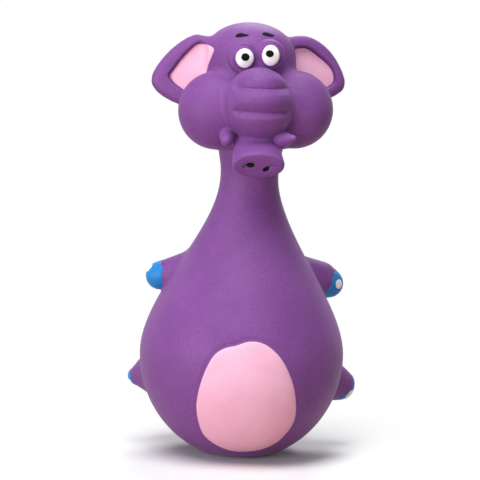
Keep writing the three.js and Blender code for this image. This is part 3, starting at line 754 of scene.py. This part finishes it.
def front_rays(outline, rings=26):
    """Rings of rays that run straight back within an outline seen from the front."""
    return flat_rays(outline, np.zeros(3), RIGHT, UP, BACK, back=50.0, rings=rings)


def cone_rays(middle, axis, half_angles, reach, rings=22):
    """Rings of rays that run in toward a point from within an uneven cone about an axis."""
    axis = np.array(axis) / np.linalg.norm(axis)
    side = np.cross(axis, UP)
    side = side / np.linalg.norm(side)
    up = np.cross(side, axis)
    turn = np.linspace(0, 2 * math.pi, len(half_angles), endpoint=False)
    tilt = ring_shares(rings)[:, None] * half_angles
    around = np.cos(turn)[:, None] * side + np.sin(turn)[:, None] * up
    out = np.cos(tilt)[..., None] * axis + np.sin(tilt)[..., None] * around
    return middle + reach * out, -out


def oval(centre, half, tilt=0.0):
    turn = np.linspace(0, 2 * math.pi, OVAL_POINTS, endpoint=False)
    along, across = half[0] * np.cos(turn), half[1] * np.sin(turn)
    x = centre[0] + along * math.cos(tilt) - across * math.sin(tilt)
    z = centre[1] + along * math.sin(tilt) + across * math.cos(tilt)
    return np.stack([x, z], axis=1)


def uneven(angle, sectors, waver, phase):
    """An angle that wavers a little round a brushed edge."""
    turn = np.linspace(0, 2 * math.pi, sectors, endpoint=False)
    wave = sum(size * np.sin(number * turn + often * phase) for size, number, often in WAVES)
    return np.radians(angle + waver * wave)


# Materials

def shader(name, roughness, specular):
    material = bpy.data.materials.new(name)
    material.use_nodes = True
    surface = material.node_tree.nodes["Principled BSDF"]
    surface.inputs["Roughness"].default_value = roughness
    surface.inputs["Specular IOR Level"].default_value = specular
    return material, surface


def noise(material, scale, detail):
    nodes, links = material.node_tree.nodes, material.node_tree.links
    place = nodes.get("Texture Coordinate") or nodes.new("ShaderNodeTexCoord")
    texture = nodes.new("ShaderNodeTexNoise")
    texture.inputs["Scale"].default_value = scale
    texture.inputs["Detail"].default_value = detail
    links.new(place.outputs["Object"], texture.inputs["Vector"])
    return texture.outputs["Fac"]


def ramp(material, value, *stops):
    """A value turned into colours, between two places and the colour at each."""
    node = material.node_tree.nodes.new("ShaderNodeValToRGB")
    for element, (at, colour) in zip(node.color_ramp.elements, stops):
        element.position = at
        element.color = (*colour, 1)
    material.node_tree.links.new(value, node.inputs["Fac"])
    return node.outputs["Color"]


def multiplied(material, one, other, share):
    """A colour multiplied by another, to a share of the full effect."""
    node = material.node_tree.nodes.new("ShaderNodeMix")
    node.data_type = "RGBA"
    node.blend_type = "MULTIPLY"
    node.inputs["Factor"].default_value = share
    first, second = [socket for socket in node.inputs if socket.type == "RGBA"]
    material.node_tree.links.new(one, first)
    material.node_tree.links.new(other, second)
    return next(socket for socket in node.outputs if socket.type == "RGBA")


def grey(level):
    return (level, level, level)


def grain(material, surface, value, strength, distance):
    """A fine relief from a value."""
    node = material.node_tree.nodes.new("ShaderNodeBump")
    node.inputs["Strength"].default_value = strength
    node.inputs["Distance"].default_value = distance
    material.node_tree.links.new(value, node.inputs["Height"])
    material.node_tree.links.new(node.outputs["Normal"], surface.inputs["Normal"])


def spread(material, surface, socket, value, low, high):
    """A value brought into a range, for one of the surface's sockets."""
    node = material.node_tree.nodes.new("ShaderNodeMapRange")
    node.inputs["To Min"].default_value = low
    node.inputs["To Max"].default_value = high
    material.node_tree.links.new(value, node.inputs["Value"])
    material.node_tree.links.new(node.outputs["Result"], surface.inputs[socket])


LATEX_DARK = (0.174, 0.054, 0.242)
LATEX_PALE = (0.206, 0.067, 0.280)
MOTTLE_DARK = (0.86, 0.84, 0.87)
MOTTLE_PALE = (1.10, 1.12, 1.09)
BRUSH_ROUGHNESS = 0.08
PLASTIC_DULL = 0.86


def latex_material():
    """Matte purple latex with a powdery bloom, fine speckle and slightly uneven pigment."""
    material, surface = shader("purple latex", roughness=0.56, specular=0.24)
    cloud, blotch = noise(material, scale=55, detail=4), noise(material, scale=900, detail=3)
    fleck, sheen = noise(material, scale=2600, detail=2), noise(material, scale=140, detail=3)
    pigment = ramp(material, cloud, (0.3, LATEX_DARK), (0.7, LATEX_PALE))
    speckle = ramp(material, fleck, (0.42, grey(0.90)), (0.58, grey(1.08)))
    mottle = ramp(material, blotch, (0.36, MOTTLE_DARK), (0.64, MOTTLE_PALE))
    colour = multiplied(material, pigment, speckle, share=0.75)
    colour = multiplied(material, colour, mottle, share=0.55)
    material.node_tree.links.new(colour, surface.inputs["Base Color"])
    spread(material, surface, "Roughness", sheen, low=0.50, high=0.62)
    surface.inputs["Sheen Weight"].default_value = 0.12
    surface.inputs["Sheen Roughness"].default_value = 0.45
    surface.inputs["Sheen Tint"].default_value = (0.80, 0.60, 0.85, 1)
    surface.inputs["Subsurface Weight"].default_value = 0.06
    surface.inputs["Subsurface Radius"].default_value = (0.003, 0.001, 0.004)
    grain(material, surface, fleck, strength=0.16, distance=0.00006)
    return material


def paint_material(name, thin, thick, roughness, specular):
    """Hand-brushed paint: thin and thick stretches, and soft brush marks."""
    material, surface = shader(name, roughness, specular)
    cloud, fleck = noise(material, scale=90, detail=4), noise(material, scale=2200, detail=2)
    cover = ramp(material, cloud, (0.32, thin), (0.68, thick))
    speckle = ramp(material, fleck, (0.4, grey(0.95)), (0.6, grey(1.03)))
    colour = multiplied(material, cover, speckle, share=0.7)
    material.node_tree.links.new(colour, surface.inputs["Base Color"])
    brush = noise(material, scale=420, detail=3)
    low, high = roughness - BRUSH_ROUGHNESS, roughness + BRUSH_ROUGHNESS
    spread(material, surface, "Roughness", brush, low, high)
    grain(material, surface, brush, strength=0.12, distance=0.00012)
    return material


def plastic_material(name, colour, roughness):
    """Moulded plastic with slightly uneven colour and a fine grain."""
    material, surface = shader(name, roughness, specular=0.5)
    dull = tuple(PLASTIC_DULL * value for value in colour)
    cloud, pits = noise(material, scale=240, detail=3), noise(material, scale=1500, detail=2)
    tone = ramp(material, cloud, (0.35, dull), (0.65, colour))
    material.node_tree.links.new(tone, surface.inputs["Base Color"])
    grain(material, surface, pits, strength=0.08, distance=0.00005)
    return material


LATEX = latex_material()
PINK = paint_material("pink paint", (0.86, 0.46, 0.63), (0.91, 0.52, 0.69), 0.6, 0.2)
# One pink in two copies: the left is darkened as painted shade, and the right, which the head shades from the
# key lamp, is lightened as painted light
EAR_PINKS_WITH_PAINTED_LIGHT = {
    "left": paint_material("left ear pink paint with painted shade", (0.84, 0.42, 0.57), (0.90, 0.49, 0.66), 0.6, 0.2),
    "right": paint_material("right ear pink paint with painted light", (0.93, 0.49, 0.67), (0.98, 0.56, 0.75), 0.6, 0.2),
}
BLUE = paint_material("blue paint", (0.014, 0.200, 0.53), (0.026, 0.265, 0.64), 0.45, 0.2)
WHITE = paint_material("white paint", (0.90, 0.90, 0.89), (0.96, 0.96, 0.95), 0.4, 0.4)
BLACK = paint_material("black paint", (0.006, 0.006, 0.007), (0.013, 0.012, 0.013), 0.6, 0.03)
PLASTIC = plastic_material("squeaker plastic", (0.80, 0.79, 0.74), 0.42)
FILM = plastic_material("reed film", (0.66, 0.62, 0.50), 0.3)


# The toy


def bend_press(obj):
    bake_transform(obj)


def bend_limb(obj, kind, name):
    """Where the limb's tip meets the body and the body's outward direction there, which nothing uses; the
    piece's transform is baked into its mesh.
    """
    tip, _ = LIMBS[kind, name][-1]
    foot = onto(body_field, np.array([tip]), rounds=12)
    out = normals_of(body_field, foot)
    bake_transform(obj)


def bend_ear(obj):
    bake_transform(obj)


def bend_snout(obj):
    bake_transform(obj)


def middles(net):
    """The middle of each quad of a meshed field."""
    points, quads, _ = net
    return points[quads].mean(axis=1)


def make_torso():
    """The body's skin, cut into limbs, neck and body."""
    net = surface_net(torso_field, *BODY_BOX, BODY_STEP)
    at = middles(net)
    skin, left = body_field(at), np.ones(len(at), bool)
    for (kind, name), balls in LIMBS.items():
        own = limb_field(at, balls) < skin
        left &= ~own
        piece = cut_piece(f"{kind}_{name}_skin", net, own, LATEX)
        bend_limb(piece, kind, name)
        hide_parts(f"{kind}_{name}")
    neck = left & (at[:, 2] > NECK_CUT)
    body = cut_piece("body_skin", net, left & ~neck, LATEX)
    bend_press(body)
    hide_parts("body_shell", "belly_wall")
    tube = cut_piece("neck_skin", net, neck, LATEX)
    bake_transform(tube)
    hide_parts("neck_sleeve")


def make_head():
    """The head's skin, cut into trunk tip, tusks, ears and head."""
    net = surface_net(head_field, *HEAD_BOX, HEAD_STEP)
    at = middles(net)
    face, left = face_field(at), np.ones(len(at), bool)
    snout = (snout_field(at) < face) & (snout_place(at)[2] > SNOUT_CUT)
    left &= ~snout
    tip = cut_piece("trunk_tip_skin", net, snout, LATEX)
    bend_snout(tip)
    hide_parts("trunk_tip")
    for name in SIDES:
        tusk = left & (tusk_field(at, name) < face)
        left &= ~tusk
        nub = cut_piece(f"tusk_{name}_skin", net, tusk, LATEX)
        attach(nub, "head")
        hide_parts(f"tusk_{name}")
        ear = left & (ear_field(at, name) < face)
        left &= ~ear
        flap = cut_piece(f"ear_{name}_skin", net, ear, LATEX)
        bend_ear(flap)
        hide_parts(f"ear_{name}")
    skin = cut_piece("head_skin", net, left, LATEX)
    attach(skin, "head")
    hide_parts("head_shell")


def make_nape():
    """The fillet that joins the neck to the back of the head."""
    net = surface_net(nape_field, *NAPE_BOX, HEAD_STEP)
    at = middles(net)
    apart = np.minimum(head_field(at), body_field(at)) > NAPE_EDGE
    strip = cut_piece("nape_skin", net, apart, LATEX)
    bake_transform(strip)


def paint_belly():
    origins, ways = flat_rays(
        PATCH_OUTLINE, PRESS_CENTRE, RIGHT, PRESS_UP, -PRESS_OUT, back=70.0, rings=40, steps=7)
    patch = coat("belly_paint", torso_field, origins, ways, PINK)
    bend_press(patch)
    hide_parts("belly_patch")


def paint_limb(kind, name):
    """The blue end of a limb and the white spot on it."""
    balls, end = LIMBS[kind, name], {"arm": "hand", "leg": "foot"}[kind]
    angle, waver, phase, spot, blue_way, spot_way = LIMB_ENDS[kind, name]
    middle, radius = np.array(balls[-1][0]), balls[-1][1]
    skin = functools.partial(limb_field, balls=balls)
    edge = uneven(angle, BLUE_SECTORS, waver, phase)
    origins, ways = cone_rays(middle, blue_way, edge, radius + BLUE_RAYS_OUT)
    blue = coat(f"{end}_{name}_paint", skin, origins, ways, BLUE)
    edge = uneven(math.degrees(spot / radius), SPOT_SECTORS, SPOT_WAVER, phase)
    origins, ways = cone_rays(middle, spot_way, edge, radius + SPOT_RAYS_OUT, rings=12)
    dot = coat(f"{end}_{name}_spot", skin, origins, ways, WHITE, rise=PAINT)
    for piece, node, slot in (
        (blue, f"{end}_paint_{name}", "blue_paint"),
        (dot, f"{end}_nail_{name}", "white_paint"),
    ):
        bend_limb(piece, kind, name)
        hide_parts(node)


def paint_face(name):
    """The white and the pupil of an eye, and the brow above it."""
    white = front_rays(oval(EYES[name], EYE_SIZES[name]))
    pupil = front_rays(oval(PUPILS[name], PUPIL_SIZES[name]))
    skin = functools.partial(eye_field, name=name)
    for piece, node, slot in (
        (coat(f"eye_white_{name}_paint", face_field, *white, WHITE, EYE_RISE - PAINT, EYE_DOME),
         "eye_white", "white_paint"),
        (coat(f"pupil_{name}_paint", skin, *pupil, BLACK, dome=PUPIL_DOME), "pupil", "black_paint"),
        (coat(f"brow_{name}_paint", face_field, *front_rays(BROWS[name]), BLACK), "brow", "black_paint"),
    ):
        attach(piece, "head")
        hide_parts(f"{node}_{name}")


def paint_ear(name):
    origins, ways = front_rays(LININGS[name], rings=34)
    seat = functools.partial(ear_seat_field, name=name)
    lining = coat(f"ear_{name}_paint", seat, origins, ways, EAR_PINKS_WITH_PAINTED_LIGHT[name])
    bend_ear(lining)
    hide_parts(f"ear_lining_{name}")


def paint_nostril(name):
    outline = oval(NOSTRILS[name], NOSTRIL_SIZES[name], NOSTRIL_TILTS[name])
    base = SNOUT_ROOT + SNOUT_LENGTH * SNOUT_OUT
    origins, ways = flat_rays(outline, base, RIGHT, SNOUT_UP, -SNOUT_OUT, back=6.0, rings=14)
    spot = coat(f"nostril_{name}_paint", head_field, origins, ways, BLACK)
    bend_snout(spot)
    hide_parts(f"nostril_{name}")


def finish_squeaker():
    """The squeaker keeps its modelled pieces and takes new finishes."""
    for node, material in (("squeaker_cup", PLASTIC), ("squeaker_cap", PLASTIC), ("reed_block", PLASTIC),
                           ("reed_wedge", PLASTIC), ("reed", FILM)):
        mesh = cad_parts[node].data
        mesh.materials.clear()
        mesh.materials.append(material)


# The studio

def seen_rays(tree):
    """1 for the rays that show the background: to the eye, mirrored and through clear things."""
    path = tree.nodes.new("ShaderNodeLightPath")
    seen = path.outputs["Is Camera Ray"]
    for kind in ("Is Glossy Ray", "Is Transmission Ray"):
        either = tree.nodes.new("ShaderNodeMath")
        either.operation = "MAXIMUM"
        tree.links.new(seen, either.inputs[0])
        tree.links.new(path.outputs[kind], either.inputs[1])
        seen = either.outputs["Value"]
    return seen


def make_floor():
    """A white floor that takes the toy's shadow, and fades to the white of the background around it. What it
    sends back to the toy is duller and warmer than what is seen of it."""
    mesh = bpy.data.meshes.new("floor")
    corners = [(FLOOR_HALF * x, FLOOR_HALF * y, 0) for x, y in ((-1, -1), (1, -1), (1, 1), (-1, 1))]
    mesh.from_pydata(corners, [], [(0, 1, 2, 3)])
    floor = bpy.data.objects.new("floor", mesh)
    material, surface = shader("pale floor", roughness=0.9, specular=0.1)
    nodes, links = material.node_tree.nodes, material.node_tree.links
    seen = seen_rays(material.node_tree)
    tone = ramp(material, seen, (0.0, FLOOR_BOUNCE), (1.0, FLOOR_SEEN))
    links.new(tone, surface.inputs["Base Color"])
    place, far = nodes.new("ShaderNodeTexCoord"), nodes.new("ShaderNodeVectorMath")
    far.operation = "LENGTH"
    links.new(place.outputs["Object"], far.inputs[0])
    fade = nodes.new("ShaderNodeMapRange")
    fade.interpolation_type = "SMOOTHSTEP"
    fade.inputs["From Min"].default_value = FLOOR_NEAR
    fade.inputs["From Max"].default_value = FLOOR_FAR
    links.new(far.outputs["Value"], fade.inputs["Value"])
    share = nodes.new("ShaderNodeMath")
    share.operation = "MULTIPLY"
    links.new(fade.outputs["Result"], share.inputs[0])
    links.new(seen, share.inputs[1])
    white, mix = nodes.new("ShaderNodeEmission"), nodes.new("ShaderNodeMixShader")
    links.new(share.outputs["Value"], mix.inputs["Fac"])
    links.new(surface.outputs["BSDF"], mix.inputs[1])
    links.new(white.outputs["Emission"], mix.inputs[2])
    links.new(mix.outputs["Shader"], nodes["Material Output"].inputs["Surface"])
    mesh.materials.append(material)
    bpy.context.scene.collection.objects.link(floor)


def make_world():
    """White to the eye, and a plain level of soft light on the toy."""
    world = bpy.data.worlds.new("studio")
    bpy.context.scene.world = world
    world.use_nodes = True
    nodes, links = world.node_tree.nodes, world.node_tree.links
    nodes.clear()
    mix = nodes.new("ShaderNodeMixShader")
    light, white = nodes.new("ShaderNodeBackground"), nodes.new("ShaderNodeBackground")
    light.inputs["Color"].default_value = SKY_COLOUR
    light.inputs["Strength"].default_value = SKY_STRENGTH
    white.inputs["Color"].default_value = (1, 1, 1, 1)
    links.new(seen_rays(world.node_tree), mix.inputs["Fac"])
    links.new(light.outputs["Background"], mix.inputs[1])
    links.new(white.outputs["Background"], mix.inputs[2])
    out = nodes.new("ShaderNodeOutputWorld")
    links.new(mix.outputs["Shader"], out.inputs["Surface"])


def area_light(name, place, size, power, colour):
    light = bpy.data.lights.new(name, "AREA")
    light.shape, light.size, light.energy, light.color = "DISK", size, power, colour
    obj = bpy.data.objects.new(name, light)
    back = np.array(place) - np.array(LAMP_AIM)
    back = back / np.linalg.norm(back)
    right = np.cross(UP, back)
    right = right / np.linalg.norm(right)
    obj.matrix_world = facing(place, right, np.cross(back, right), back)
    bpy.context.scene.collection.objects.link(obj)


def facing(place, right, up, back):
    """The matrix of a lamp or camera at a place, from its axes."""
    rows = [(right[k], up[k], back[k], place[k]) for k in range(3)]
    return Matrix([*rows, (0, 0, 0, 1)])


def make_lights():
    for name, lamp in LAMPS.items():
        area_light(name, *lamp)


def make_camera():
    a, e, lean = VIEW_AZIMUTH, VIEW_ELEVATION, VIEW_LEAN
    back = np.array([math.sin(a) * math.cos(e), -math.cos(a) * math.cos(e), math.sin(e)])
    level = np.array([math.cos(a), math.sin(a), 0.0])
    rise = np.cross(back, level)
    right = level * math.cos(lean) + rise * math.sin(lean)
    up = rise * math.cos(lean) - level * math.sin(lean)
    data = bpy.data.cameras.new("camera")
    data.lens, data.sensor_width = VIEW_LENS, VIEW_SENSOR
    camera = bpy.data.objects.new("camera", data)
    camera.matrix_world = facing(np.array(VIEW_AIM) + VIEW_DISTANCE * back, right, up, back)
    bpy.context.scene.collection.objects.link(camera)
    bpy.context.scene.camera = camera


make_torso()
make_head()
make_nape()
paint_belly()
for limb_kind, limb_side in LIMBS:
    paint_limb(limb_kind, limb_side)
for head_side in SIDES:
    paint_face(head_side)
    paint_ear(head_side)
    paint_nostril(head_side)
finish_squeaker()
make_floor()
make_world()
make_lights()
make_camera()
bpy.context.scene.view_settings.view_transform = "Standard"
